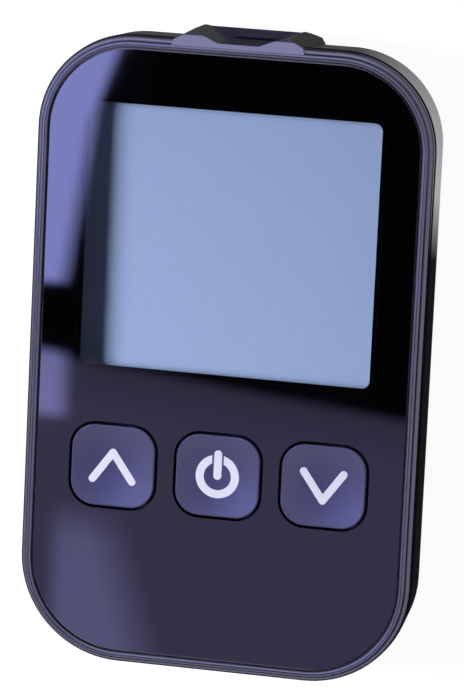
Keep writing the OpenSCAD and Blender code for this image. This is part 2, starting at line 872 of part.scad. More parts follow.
module battery_door() {
    tab_w = 12;
    color(black_shell) centred() difference() {
        union() {
            intersection() {
                difference() {
                    back_form(0, parting_z);
                    back_form(door_t, parting_z + lap);
                }
                door_space(0);
            }
            for (s = [0, 1]) mirror([s, 0, 0]) for (y = hook_ys)
                translate([0, y - hook_l, 0]) {
                    translate([hook_x - 0.1, 0, door_t - 0.2])
                        cube([1, hook_l, hook_z + hook_t + 0.2 - door_t]);
                    translate([hook_x, 0, hook_z]) cube([hook_w + 0.9, hook_l, hook_t]);
                }
            translate([-tab_w / 2, door_end - 2, door_t - 0.2])
                cube([tab_w, 1.6, hook_z + hook_t + 0.2 - door_t]);
            translate([-tab_w / 2, door_end - 2, hook_z]) cube([tab_w, 3.6, hook_t]);
            // Ribs that hold the cells up against their contacts
            for (s = [-1, 1])
                translate([s * 4 - 0.5, bay_back_y + 1, door_t - 0.2])
                    cube([1, door_end - 3 - bay_back_y, cell_z - fit_gap + 0.2 - door_t]);
        }
        thumb_grip();
    }
}

// A flat can with a slightly smaller cap, which faces the board
module coin_cell(y) {
    cap_t = 0.25;
    edge = 0.25;
    color(steel) centred() translate([0, y, cell_z]) rotate_extrude()
        polygon([[0, 0], [cell_r - edge, 0], [cell_r, edge],
                 [cell_r, cell_t - cap_t - edge], [cell_r - edge, cell_t - cap_t],
                 [cell_r - 1.1, cell_t - cap_t], [cell_r - 1.3, cell_t], [0, cell_t]]);
}

module coin_cell_upper() {
    coin_cell(cell_upper_y);
}

module coin_cell_lower() {
    coin_cell(cell_lower_y);
}

// Leaves that press on the caps of the cells, through to the board
module cell_top_contacts() {
    leaf_w = 2.2;
    leaf_t = 0.25;
    top = board_z - solder;
    low = cell_z + cell_t + 0.05;
    roof = ceiling_z - 0.05;
    color(gold) centred() for (y = [cell_upper_y, cell_lower_y])
        translate([-leaf_w / 2, y, 0]) rotate([90, 0, 90]) linear_extrude(leaf_w)
            polygon([[-5, roof - leaf_t], [-1, roof - leaf_t], [0.6, low],
                     [1.4, low], [4.3 + leaf_t, roof - leaf_t],
                     [4.3 + leaf_t, top], [4.3, top], [4.3, roof],
                     [1.3, low + leaf_t], [0.7, low + leaf_t], [-1, roof], [-5, roof]]);
}

// Tabs that touch the sides of the cells' cans
module cell_side_contacts() {
    tab_w = 2.4;
    tab_t = 0.25;
    top = board_z - solder;
    x = -cell_r - 0.1;
    color(gold) centred() for (y = [cell_upper_y, cell_lower_y])
        translate([0, y + tab_w / 2, 0]) rotate([90, 0, 0]) linear_extrude(tab_w)
            polygon([[x, cell_z + cell_t - 1.4], [x, cell_z + cell_t - 0.8],
                     [x - 0.1, cell_z + cell_t - 0.4], [x - 0.1, top],
                     [x - 0.1 - tab_t, top], [x - 0.1 - tab_t, cell_z + cell_t - 0.4],
                     [x - tab_t, cell_z + cell_t - 0.8],
                     [x - tab_t, cell_z + cell_t - 1.4]]);
}

// ---------------------------------------------------------------------------
// Fasteners
// ---------------------------------------------------------------------------

module housing_screws() {
    head_z = screw_pocket - screw_head_h;
    color(steel) centred() for (p = screw_places) translate([p[0], p[1], 0]) difference() {
        union() {
            translate([0, 0, head_z]) cylinder(r = screw_head_r, h = screw_head_h);
            translate([0, 0, head_z]) cylinder(r = screw_r, h = screw_tip_z - head_z);
        }
        for (a = [0, 90]) rotate([0, 0, a])
            translate([-drive_l / 2, -drive_w / 2, head_z - lap])
                cube([drive_l, drive_w, drive_h + lap]);
    }
}

front_housing();
window_panel();
window_mask();
lcd_gasket();
lcd_polarizer();
lcd_front_glass();
lcd_rear_glass();
lcd_reflector();
lcd_frame();
zebra_strips();
button_up();
button_power();
button_down();
keypad_sheet();
dome_contacts();
main_board();
microcontroller();
memory_chip();
crystal();
board_components();
buzzer();
strip_connector();
strip_contacts();
rear_housing();
battery_door();
coin_cell_upper();
coin_cell_lower();
cell_top_contacts();
cell_side_contacts();
housing_screws();
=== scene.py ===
# %% [markdown]
# # A blood glucose meter, lying on its back
#
# The CAD model already holds every solid of the meter: two shells, a glossy
# window panel, a display, three keys, a board and two coin cells behind a
# sliding door. Blender adds what a CAD model lacks, which is how the surfaces
# look. We load the model as a fixed frame, give each piece its finish, print
# the symbols on the keys, and set up a small studio round it.

import math

import bmesh
import bpy
from mathutils import Euler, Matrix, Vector
from mathutils.bvhtree import BVHTree


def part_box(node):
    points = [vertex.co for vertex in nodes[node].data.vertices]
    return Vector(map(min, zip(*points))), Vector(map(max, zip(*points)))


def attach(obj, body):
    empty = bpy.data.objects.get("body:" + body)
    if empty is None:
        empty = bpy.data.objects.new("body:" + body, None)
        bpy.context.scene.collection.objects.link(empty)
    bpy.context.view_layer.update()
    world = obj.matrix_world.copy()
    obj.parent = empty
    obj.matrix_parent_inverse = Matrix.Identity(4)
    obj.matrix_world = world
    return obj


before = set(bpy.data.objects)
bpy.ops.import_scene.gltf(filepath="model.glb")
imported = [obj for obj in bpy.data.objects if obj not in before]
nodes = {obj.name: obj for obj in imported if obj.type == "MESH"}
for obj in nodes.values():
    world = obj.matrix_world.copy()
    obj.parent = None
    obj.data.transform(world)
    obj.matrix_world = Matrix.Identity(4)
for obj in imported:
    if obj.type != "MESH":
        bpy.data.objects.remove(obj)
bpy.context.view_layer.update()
scene = bpy.context.scene
MM = 0.001

# %% [markdown]
# ## Camera
#
# The picture was taken from above, a little from the right and from the strip
# end, with a long lens, so that the far end of the meter hardly shrinks. A
# long lens is a small field of view: at 0.7 m a lens of about 250 mm fills the
# frame with an object of 0.1 m. The place and turn below come from matching
# the edges of the panel, the window and the key holes.

# %% Camera
CAMERA_AT = (0.15185, 0.14214, 0.69324)
CAMERA_TURN = (-10.851, 13.059, 2.75)

camera = bpy.data.objects.new("camera", bpy.data.cameras.new("camera"))
camera.data.lens = 249.2
camera.data.sensor_width = 36.0
camera.data.clip_end = 10.0
camera.location = CAMERA_AT
camera.rotation_euler = Euler([math.radians(a) for a in CAMERA_TURN])
scene.collection.objects.link(camera)
scene.camera = camera
print("camera stands", round(camera.location.length, 3), "m away")

# %% [markdown]
# ## A short way to write materials
#
# Each finish is a small graph of shader nodes. Writing it by hand takes three
# lines for every node: make it, set it, link it. The helper below does all
# three. An input can be a number, a colour, or the output of another node.

# %% Node helper
def put(tree, kind, options=None, **inputs):
    """Adds a shader node. Inputs are named with _ for a space, or i0, i1 for their index."""
    made = tree.nodes.new("ShaderNode" + kind)
    for key, value in (options or {}).items():
        setattr(made, key, value)
    for key, value in inputs.items():
        by_index = key[0] == "i" and key[1:].isdigit()
        socket = made.inputs[int(key[1:]) if by_index else key.replace("_", " ")]
        if isinstance(value, bpy.types.NodeSocket):
            tree.links.new(value, socket)
        else:
            socket.default_value = value
    return made


def blank(name):
    """A new material with an empty node tree and its output node."""
    mat = bpy.data.materials.new(name)
    mat.use_nodes = True
    mat.node_tree.nodes.clear()
    out = mat.node_tree.nodes.new("ShaderNodeOutputMaterial")
    return mat, mat.node_tree, out


print("helpers put and blank are ready")

# %% [markdown]
# ## Noise, ranges and colours
#
# Nothing real has one even colour, so nearly every finish mixes two close
# colours by a noise. The noise could be a picture, but then it would need
# unwrapped faces and would blur close up. We work it out from the place of a
# point in the CAD's own metres, so a grain of 0.1 mm is 0.1 mm on any piece.

# %% Noise, ranges and colours
def place(tree):
    """Coordinates in metres, the same as the CAD's."""
    return tree.nodes.new("ShaderNodeTexCoord").outputs["Object"]


def grain(tree, size, detail=2.0, rough=0.5, where=None):
    """Even noise with features of the given size in metres, about 0 to 1."""
    noise = put(tree, "TexNoise", Vector=where or place(tree), Scale=0.5 / size,
                Detail=detail, Roughness=rough)
    return noise.outputs["Fac"]


def spread(tree, value, low, high, start=0.3, end=0.7):
    """Maps a value from start..end to low..high, held inside them."""
    return put(tree, "MapRange", Value=value, From_Min=start, From_Max=end,
               To_Min=low, To_Max=high).outputs["Result"]


def blend(tree, share, first, second):
    """A colour between two colours."""
    # A mix node has sockets for every kind of data: 6, 7 and output 2 are its colours.
    mix = put(tree, "Mix", {"data_type": "RGBA"})
    for index, value in ((0, share), (6, first), (7, second)):
        if isinstance(value, bpy.types.NodeSocket):
            tree.links.new(value, mix.inputs[index])
        else:
            mix.inputs[index].default_value = value
    return mix.outputs[2]


def math_node(tree, operation, first, second=0.0):
    """One step of arithmetic."""
    return put(tree, "Math", {"operation": operation}, i0=first, i1=second).outputs[0]


def rgb(red, green, blue):
    """A linear colour, from 0 to 1."""
    return (red, green, blue, 1.0)


print("violet-black, for one, is", rgb(0.010, 0.010, 0.014))

# %% [markdown]
# ## Moulded plastic
#
# Both shells are moulded in black plastic. The mould is lightly etched, so the
# surface has a fine grain that spreads each reflection into a soft band. Under
# the studio's light these bands look violet, which we put into the tint of the
# reflection and not into the base colour. The grain could be modelled, but at
# a tenth of a millimetre a bump does the same. The same recipe, with other
# numbers, serves for most of the plastics and rubbers inside.

# %% Moulded plastic
def moulded(name, dark, light, rough, grain_size, grain_depth, tint=None, level=0.5):
    """Plastic or rubber with a fine even grain. Colours are linear."""
    mat, tree, out = blank(name)
    where = place(tree)
    fine = grain(tree, grain_size, 3.0, 0.6, where)
    broad = grain(tree, 40 * grain_size, 2.0, 0.5, where)
    colour = blend(tree, spread(tree, broad, 0.0, 1.0), dark, light)
    rough_value = spread(tree, broad, rough - 0.02, rough + 0.02)
    bump = put(tree, "Bump", Height=fine, Strength=1.0, Distance=grain_depth)
    shader = put(tree, "BsdfPrincipled", Base_Color=colour, Roughness=rough_value,
                 Normal=bump.outputs[0], Specular_IOR_Level=level)
    if tint:
        shader.inputs["Specular Tint"].default_value = tint
    tree.links.new(shader.outputs[0], out.inputs[0])
    return mat


print("the recipe for plastic and rubber is ready")

# %% Shells and the plastics inside
VIOLET = rgb(0.80, 0.80, 1.0)
SHELL_GRAIN = 0.12 * MM

shell_black = moulded("shell_black", rgb(0.010, 0.010, 0.014), rgb(0.014, 0.013, 0.019),
                      0.17, SHELL_GRAIN, 0.002 * MM, VIOLET, 0.6)
# The rear shell and door are the same black plastic, given a darker base and a weaker
# reflection: painted shade, so their walls read dark.
rear_shell_painted_dark = moulded("rear_shell_painted_dark", rgb(0.006, 0.006, 0.009), rgb(0.009, 0.008, 0.012),
                     0.20, SHELL_GRAIN, 0.003 * MM, VIOLET, 0.30)
foam_black = moulded("foam_black", rgb(0.012, 0.012, 0.013), rgb(0.030, 0.030, 0.032),
                     0.95, 0.25 * MM, 0.08 * MM)
frame_white = moulded("frame_white", rgb(0.60, 0.60, 0.58), rgb(0.66, 0.66, 0.64),
                      0.45, 0.15 * MM, 0.006 * MM)
silicone_grey = moulded("silicone_grey", rgb(0.17, 0.18, 0.21), rgb(0.20, 0.21, 0.24),
                        0.60, 0.20 * MM, 0.008 * MM)
connector_cream = moulded("connector_cream", rgb(0.62, 0.58, 0.47), rgb(0.68, 0.64, 0.53),
                          0.40, 0.12 * MM, 0.006 * MM)
buzzer_black = moulded("buzzer_black", rgb(0.015, 0.015, 0.017), rgb(0.022, 0.022, 0.024),
                       0.30, 0.20 * MM, 0.010 * MM)
ceramic_tan = moulded("ceramic_tan", rgb(0.33, 0.24, 0.14), rgb(0.45, 0.34, 0.21),
                      0.35, 0.08 * MM, 0.004 * MM)
ink_black = moulded("ink_black", rgb(0.003, 0.003, 0.004), rgb(0.005, 0.005, 0.006),
                    0.60, 0.05 * MM, 0.001 * MM, level=0.1)
print("plastics:", [m.name for m in bpy.data.materials if m.node_tree])

# %% [markdown]
# ## Keys
#
# The top of each key is a shallow dish for the fingertip, less than a
# millimetre deep. So it mirrors a wide part of the room, and each key is lit
# unevenly: its lower right corner faces the softbox and its upper left one
# faces away. A dish so shallow could be cut into the mesh, but it shows only in
# the way it turns the light. So it is a bump, whose height grows with the
# square of the distance from the middle of the nearest key.

# %% Dished keys
KEY_HALF = 6 * MM
KEY_DISH = 0.7 * MM


def dished_keys(name, dark, light, rough, depth):
    """Violet plastic with a dish in the top of each key, depth deep at its edge."""
    mat, tree, out = blank(name)
    where = place(tree)
    middles = [(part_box(n)[0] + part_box(n)[1]) / 2 for n in
               ("button_up", "button_power", "button_down")]
    height = None
    for middle in middles:
        shifted = put(tree, "VectorMath", {"operation": "SUBTRACT"}, i0=where,
                      i1=(middle.x, middle.y, 0.0)).outputs[0]
        parts = put(tree, "SeparateXYZ", Vector=shifted)
        flat = put(tree, "CombineXYZ", X=parts.outputs["X"], Y=parts.outputs["Y"])
        reach = put(tree, "VectorMath", {"operation": "LENGTH"},
                    i0=flat.outputs[0]).outputs["Value"]
        bowl = math_node(tree, "POWER", math_node(tree, "DIVIDE", reach, KEY_HALF), 2.0)
        height = bowl if height is None else math_node(tree, "MINIMUM", height, bowl)
    fine = grain(tree, 0.10 * MM, 3.0, 0.6, where)
    texture = math_node(tree, "MULTIPLY", fine, 0.010 * MM / depth)
    bump = put(tree, "Bump", Height=math_node(tree, "ADD", height, texture), Strength=1.0,
               Distance=depth)
    broad = grain(tree, 4 * MM, 2.0, 0.5, where)
    shader = put(tree, "BsdfPrincipled",
                 Base_Color=blend(tree, spread(tree, broad, 0.0, 1.0), dark, light),
                 Roughness=rough, Normal=bump.outputs[0])
    shader.inputs["Specular Tint"].default_value = VIOLET
    tree.links.new(shader.outputs[0], out.inputs[0])
    return mat


key_violet = dished_keys("key_violet", rgb(0.018, 0.018, 0.046), rgb(0.022, 0.022, 0.053),
                         0.42, KEY_DISH)
print("keys dished,", round(KEY_DISH / MM, 2), "mm of bump at", KEY_HALF / MM, "mm out")

# %% [markdown]
# ## Window panel
#
# The panel is one sheet of clear acrylic over the whole face, printed black
# on its back except over the display. So it is a black mirror round a clear
# window. One material does both: a mask, worked out from the coordinates,
# tells the window from the print, and the print is what a ray meets when it
# reaches the sheet's back from inside. A second mask, 0.7 mm wider, makes the
# front of the sheet plain black where no view reaches the window. Real lamps
# shine through such a window, but a path tracer counts glass as a shadow, so
# for shadow rays and for the light that the display scatters the window is
# simply transparent. The cut edge of the sheet is bevelled and satin, and its
# pale colour is a painted highlight: a thin line of light along the edge.

# %% Rounded mask
def rounded_mask(tree, middle, half_width, half_length, radius, soft):
    """1 inside a rounded rectangle round middle, and 0 outside it."""
    shifted = put(tree, "VectorMath", {"operation": "SUBTRACT"}, i0=place(tree),
                  i1=(middle[0], middle[1], 0.0)).outputs[0]
    parts = put(tree, "SeparateXYZ", Vector=put(
        tree, "VectorMath", {"operation": "ABSOLUTE"}, i0=shifted).outputs[0])
    over = [math_node(tree, "MAXIMUM", math_node(tree, "SUBTRACT", parts.outputs[axis], half),
                      0.0)
            for axis, half in ((0, half_width - radius), (1, half_length - radius))]
    reach = put(tree, "VectorMath", {"operation": "LENGTH"},
                i0=put(tree, "CombineXYZ", X=over[0], Y=over[1]).outputs[0]).outputs["Value"]
    return spread(tree, reach, 1.0, 0.0, radius - soft, radius + soft)


FILM_OVERLAP = 0.36 * MM
EDGE = 0.001 * MM

film_low, film_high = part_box("lcd_polarizer")
window_middle = (film_low + film_high) / 2
window_half_w = (film_high.x - film_low.x) / 2 - FILM_OVERLAP
window_half_l = (film_high.y - film_low.y) / 2 - FILM_OVERLAP
window_radius = 1.2 * MM
print("clear acrylic:", round(2 * window_half_w / MM, 2), "x", round(2 * window_half_l / MM, 2),
      "mm")

# %% Clear and printed acrylic
ACRYLIC_IOR = 1.49
SIDE_VIEW = 0.7 * MM

panel_gloss, tree, out = blank("panel_gloss")
clear = rounded_mask(tree, window_middle, window_half_w, window_half_l, window_radius, EDGE)
near = rounded_mask(tree, window_middle, window_half_w + SIDE_VIEW, window_half_l + SIDE_VIEW,
                   window_radius + SIDE_VIEW, EDGE)
smear = grain(tree, 9 * MM, 3.0, 0.55)
panel_rough = spread(tree, smear, 0.015, 0.035)
geometry = put(tree, "NewGeometry")
facing = put(tree, "SeparateXYZ", Vector=geometry.outputs["Normal"]).outputs["Z"]
# The bevelled edge is satin and opaque. Its pale base colour is a painted highlight, the thin
# line of light along the edge.
bevel_painted_highlight = math_node(tree, "MULTIPLY", spread(tree, facing, 1.0, 0.0, 0.75, 0.95),
                  spread(tree, facing, 0.0, 1.0, 0.2, 0.5))
panel_shader = put(tree, "BsdfPrincipled",
                   Base_Color=blend(tree, bevel_painted_highlight, blend(tree, near, rgb(0, 0, 0), rgb(1, 1, 1)),
                                    rgb(0.16, 0.16, 0.21)),
                   Roughness=math_node(tree, "ADD", panel_rough,
                                       math_node(tree, "MULTIPLY", bevel_painted_highlight, 0.3)),
                   IOR=ACRYLIC_IOR, Transmission_Weight=math_node(
                       tree, "MULTIPLY", near, math_node(tree, "SUBTRACT", 1.0, bevel_painted_highlight)))
path = put(tree, "LightPath")
passing = math_node(tree, "MAXIMUM", geometry.outputs["Backfacing"], math_node(
    tree, "MAXIMUM", path.outputs["Is Shadow Ray"], path.outputs["Is Diffuse Ray"]))
through = math_node(tree, "MULTIPLY", passing, clear)
panel_mix = put(tree, "MixShader", i0=through, i1=panel_shader.outputs[0],
                i2=put(tree, "BsdfTransparent").outputs[0])
print_back = math_node(tree, "MULTIPLY", geometry.outputs["Backfacing"],
                       math_node(tree, "SUBTRACT", 1.0, clear))
panel_done = put(tree, "MixShader", i0=print_back, i1=panel_mix.outputs[0],
                 i2=put(tree, "BsdfDiffuse", Color=rgb(0.002, 0.002, 0.003)).outputs[0])
tree.links.new(panel_done.outputs[0], out.inputs[0])
print("front of the panel is black from", round(SIDE_VIEW / MM, 2), "mm outside the window")

# %% [markdown]
# ## Display
#
# A plain liquid crystal display is a stack: polarizer film, two glass plates
# and a reflector. Switched off, it looks like pale blue-grey paper with a fine
# sparkle, because the film is etched against glare. We give the top film that
# look, with a mottle of a third of a millimetre and a finer sparkle in it, and
# keep real glass and a satin silver sheet under it for whoever takes it apart.

# %% Display film
film_grey, tree, out = blank("film_grey")
where = place(tree)
mottle = grain(tree, 0.30 * MM, 4.0, 0.75, where)
cloud = grain(tree, 14 * MM, 2.0, 0.5, where)
# Painted shade: the film is darker toward its upper edge and lighter toward its lower edge, as
# the light falls on it.
height = put(tree, "SeparateXYZ", Vector=where).outputs["Y"]
lower = spread(tree, height, 1.0, 0.0, film_low.y, film_high.y)
film_base = blend(tree, lower, rgb(0.340, 0.445, 0.690), rgb(0.410, 0.540, 0.820))
film_dark = blend(tree, spread(tree, mottle, 0.0, 0.20, 0.35, 0.65), film_base,
                  rgb(0.240, 0.330, 0.550))
film_colour = blend(tree, spread(tree, cloud, 0.0, 0.10), film_dark, rgb(0.44, 0.56, 0.82))
film_bump = put(tree, "Bump", Height=mottle, Strength=0.6, Distance=0.01 * MM)
film_shader = put(tree, "BsdfPrincipled", Base_Color=film_colour, Roughness=0.55,
                  Normal=film_bump.outputs[0], Specular_IOR_Level=0.05)
tree.links.new(film_shader.outputs[0], out.inputs[0])
print("film of", round((film_high.x - film_low.x) / MM, 2), "x",
      round((film_high.y - film_low.y) / MM, 2), "mm")


# %% Display glass
def clear_glass(name, tint, rough):
    """Glass with faint streaks in its tint."""
    mat, tree, out = blank(name)
    streak = grain(tree, 6 * MM, 2.0)
    shader = put(tree, "BsdfPrincipled",
                 Base_Color=blend(tree, spread(tree, streak, 0.0, 1.0), tint, rgb(1, 1, 1)),
                 Roughness=spread(tree, streak, rough, rough + 0.03), IOR=1.52,
                 Transmission_Weight=1.0)
    tree.links.new(shader.outputs[0], out.inputs[0])
    return mat


plate_glass = clear_glass("plate_glass", rgb(0.80, 0.90, 0.88), 0.01)
print("glass:", plate_glass.name)

# %% [markdown]
# ## Metals
#
# Inside and under the door there are four metals: stainless steel on the cells
# and domes, gold on the contacts, zinc on the screws and a nickel silver can.
# Rolled or turned metal carries fine lines that stretch the highlights. Noise
# squeezed along one axis gives rolled metal.

# %% Metals
def metal(name, colour, worn, rough, stretch=(1.0, 1.0, 1.0), line=0.05 * MM):
    """Metal with fine lines; stretch says how long they are along each axis."""
    mat, tree, out = blank(name)
    squeezed = put(tree, "Mapping", {"vector_type": "POINT"}, Vector=place(tree),
                   Scale=tuple(1.0 / s for s in stretch)).outputs[0]
    lines = grain(tree, line, 3.0, 0.6, squeezed)
    stain = grain(tree, 3 * MM, 3.0)
    bump = put(tree, "Bump", Height=lines, Strength=0.7, Distance=0.002 * MM)
    shader = put(tree, "BsdfPrincipled",
                 Base_Color=blend(tree, spread(tree, stain, 0.0, 1.0), colour, worn),
                 Roughness=spread(tree, lines, rough - 0.06, rough + 0.10), Metallic=1.0,
                 Normal=bump.outputs[0])
    tree.links.new(shader.outputs[0], out.inputs[0])
    return mat


cell_steel = metal("cell_steel", rgb(0.60, 0.60, 0.62), rgb(0.52, 0.52, 0.53), 0.24,
                   (1, 30, 1))
dome_steel = metal("dome_steel", rgb(0.66, 0.65, 0.63), rgb(0.58, 0.57, 0.55), 0.20,
                   (12, 1, 1))
contact_gold = metal("contact_gold", rgb(0.83, 0.60, 0.26), rgb(0.70, 0.48, 0.20), 0.22,
                     (1, 10, 1))
screw_zinc = metal("screw_zinc", rgb(0.42, 0.42, 0.45), rgb(0.34, 0.34, 0.37), 0.34)
can_nickel = metal("can_nickel", rgb(0.62, 0.60, 0.56), rgb(0.55, 0.53, 0.49), 0.28,
                   (8, 1, 1))
foil_silver = metal("foil_silver", rgb(0.78, 0.80, 0.84), rgb(0.70, 0.72, 0.76), 0.42,
                    (1, 1, 1), 0.20 * MM)
print("metals:", [m.name for m in (cell_steel, dome_steel, contact_gold, screw_zinc,
                                   can_nickel, foil_silver)])

# %% [markdown]
# ## Board, chips and the striped rubber
#
# A circuit board is glass cloth under green lacquer, with copper tracks that
# show as paler lines. Wavy bands cut up by a brick pattern read as tracks at
# this size. Chips are matt moulded epoxy with bright tinned legs: the legs lie
# outside the chip's body, so a mask from the coordinates can tell them apart.
# The rubber strips that feed the display are built from hundreds of thin
# layers, every second one conducting, which a fine wave texture gives.

# %% Board lacquer
board_green, tree, out = blank("board_green")
where = place(tree)
tracks = put(tree, "TexBrick", {"offset": 0.35, "squash": 2.2}, Vector=where, Scale=420.0,
             Mortar_Size=0.012, Color1=rgb(0, 0, 0), Color2=rgb(0, 0, 0), Mortar=rgb(1, 1, 1),
             Brick_Width=0.9, Row_Height=0.32)
weave = put(tree, "TexWave", {"wave_type": "BANDS", "bands_direction": "DIAGONAL"},
            Vector=where, Scale=700.0, Distortion=1.5, Detail=1.0)
lacquer = blend(tree, spread(tree, weave.outputs["Fac"], 0.0, 0.35, 0.0, 1.0),
                rgb(0.008, 0.070, 0.032), rgb(0.012, 0.095, 0.045))
board_colour = blend(tree, tracks.outputs["Color"], lacquer, rgb(0.030, 0.180, 0.090))
board_bump = put(tree, "Bump", Height=tracks.outputs["Color"], Strength=0.6,
                 Distance=0.02 * MM)
board_shader = put(tree, "BsdfPrincipled", Base_Color=board_colour, Roughness=0.32,
                   Normal=board_bump.outputs[0])
tree.links.new(board_shader.outputs[0], out.inputs[0])
print("lacquer:", board_green.name)


# %% Chips
def chip_finish(name, node_name, leg_x, leg_y):
    """Epoxy where the body is, tin where the legs stand out by leg_x and leg_y."""
    low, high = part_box(node_name)
    mat, tree, out = blank(name)
    where = place(tree)
    middle = (low + high) / 2
    body = rounded_mask(tree, middle, (high.x - low.x) / 2 - leg_x,
                       (high.y - low.y) / 2 - leg_y, 0.05 * MM, 0.01 * MM)
    fine = grain(tree, 0.06 * MM, 3.0, 0.6, where)
    epoxy = blend(tree, spread(tree, fine, 0.0, 1.0), rgb(0.010, 0.010, 0.011),
                  rgb(0.020, 0.020, 0.022))
    bump = put(tree, "Bump", Height=fine, Strength=0.8, Distance=0.006 * MM)
    shader = put(tree, "BsdfPrincipled",
                 Base_Color=blend(tree, body, rgb(0.62, 0.62, 0.60), epoxy),
                 Roughness=spread(tree, body, 0.28, 0.62, 0.0, 1.0),
                 Metallic=math_node(tree, "SUBTRACT", 1.0, body), Normal=bump.outputs[0])
    tree.links.new(shader.outputs[0], out.inputs[0])
    return mat


LEG = 0.9 * MM

control_chip = chip_finish("control_chip", "microcontroller", LEG, LEG)
store_chip = chip_finish("store_chip", "memory_chip", 0.0, LEG)
print("chips:", control_chip.name, store_chip.name)

# %% Striped rubber
LAYER = 0.1 * MM

layer_rubber, tree, out = blank("layer_rubber")
layers = put(tree, "TexWave", {"wave_type": "BANDS", "bands_direction": "X"},
             Vector=place(tree), Scale=0.5 * math.pi / (10 * LAYER), Distortion=0.0)
layer_colour = blend(tree, spread(tree, layers.outputs["Fac"], 0.0, 1.0, 0.4, 0.6),
                     rgb(0.55, 0.22, 0.28), rgb(0.02, 0.02, 0.02))
layer_shader = put(tree, "BsdfPrincipled", Base_Color=layer_colour, Roughness=0.7)
tree.links.new(layer_shader.outputs[0], out.inputs[0])
print("striped rubber with layers of", round(LAYER / MM, 2), "mm")

# %% [markdown]
# ## Dress the CAD pieces
#
# Every solid keeps its shape from the CAD model. Only its material changes, so
# each one gets one of the finishes above in its first slot.

# %% Give each piece its finish
finishes = {
    shell_black: ["front_housing"],
    rear_shell_painted_dark: ["rear_housing", "battery_door"],
    key_violet: ["button_up", "button_power", "button_down"],
    panel_gloss: ["window_panel"],
    ink_black: ["window_mask"],
    foam_black: ["lcd_gasket"],
    film_grey: ["lcd_polarizer"],
    plate_glass: ["lcd_front_glass", "lcd_rear_glass"],
    foil_silver: ["lcd_reflector"],
    frame_white: ["lcd_frame"],
    layer_rubber: ["zebra_strips"],
    silicone_grey: ["keypad_sheet"],
    dome_steel: ["dome_contacts"],
    board_green: ["main_board"],
    control_chip: ["microcontroller"],
    store_chip: ["memory_chip"],
    can_nickel: ["crystal"],
    ceramic_tan: ["board_components"],
    buzzer_black: ["buzzer"],
    connector_cream: ["strip_connector"],
    contact_gold: ["strip_contacts", "cell_top_contacts", "cell_side_contacts"],
    cell_steel: ["coin_cell_upper", "coin_cell_lower"],
    screw_zinc: ["housing_screws"],
}
for finish, names in finishes.items():
    for name in names:
        mesh = nodes[name].data
        mesh.materials.clear()
        mesh.materials.append(finish)
bare = sorted(set(nodes) - {name for names in finishes.values() for name in names})
print("dressed", sum(len(names) for names in finishes.values()), "pieces, left bare:", bare)

# %% [markdown]
# ## Symbols on the keys
#
# Each key carries one printed symbol: an arrow head up, the usual power sign
# and an arrow head down. Ink has hardly any height, so a picture on the key
# would do, but a thin solid looks right from every side and keeps its sharp
# edge at any size. A symbol is a set of strokes with round ends. We draw each
# stroke as a flat outline, drop its points on the key's top, and let it stand
# 0.03 mm above that.

# %% Stroke outlines
STROKE = 1.14 * MM
ROUND_STEPS = 10


def bar_outline(start, end, width):
    """The outline of a straight stroke with round ends, as points in order."""
    start, end = Vector(start), Vector(end)
    along = math.atan2(end.y - start.y, end.x - start.x)
    points = []
    for middle, turn in ((end, along - math.pi / 2), (start, along + math.pi / 2)):
        for step in range(ROUND_STEPS + 1):
            angle = turn + math.pi * step / ROUND_STEPS
            points.append(middle + width / 2 * Vector((math.cos(angle), math.sin(angle))))
    return points


def arrow_outline(reach, rise, width):
    """An arrow head that points to +Y, as one outline with three round corners."""
    left, right = Vector((-reach, -rise / 2)), Vector((reach, -rise / 2))
    tip = Vector((0, rise / 2))
    slope = math.atan2(rise, reach)
    points = []
    for middle, start, sweep in ((left, slope + math.pi / 2, math.pi),
                                 (right, -slope - math.pi / 2, math.pi),
                                 (tip, math.pi / 2 - slope, 2 * slope)):
        corner = [middle + width / 2 * Vector((math.cos(start + sweep * s / ROUND_STEPS),
                                               math.sin(start + sweep * s / ROUND_STEPS)))
                  for s in range(ROUND_STEPS + 1)]
        points.append(corner)
    inner = tip - Vector((0, width / 2 / math.cos(slope)))
    return points[0] + [inner] + points[1] + points[2]


print("strokes", round(STROKE / MM, 2), "mm wide")


# %% Open ring
RING_STEPS = 48


def ring_faces(outer, inner, gap):
    """An open ring as a row of four-sided faces. Its ends are cut straight, gap apart."""
    ends = [math.asin(gap / 2 / radius) for radius in (outer, inner)]
    faces = []
    for step in range(RING_STEPS):
        corners = []
        for radius, end, part in ((outer, ends[0], step), (outer, ends[0], step + 1),
                                  (inner, ends[1], step + 1), (inner, ends[1], step)):
            angle = math.pi / 2 + end + (2 * math.pi - 2 * end) * part / RING_STEPS
            corners.append(radius * Vector((math.cos(angle), math.sin(angle))))
        faces.append(corners)
    return faces


print("a ring has", RING_STEPS, "faces")

# %% Lay a symbol on a key
PRINT_RISE = 0.03 * MM
PRINT_SINK = 0.03 * MM
SAME_POINT = 0.001 * MM


def key_surface(node_name):
    """Looks down on a key from above, to find its height at any point."""
    mesh = nodes[node_name].data
    tree = BVHTree.FromPolygons([v.co for v in mesh.vertices],
                                [p.vertices for p in mesh.polygons])
    return lambda x, y: tree.ray_cast(Vector((x, y, 1.0)), Vector((0, 0, -1)))[0].z


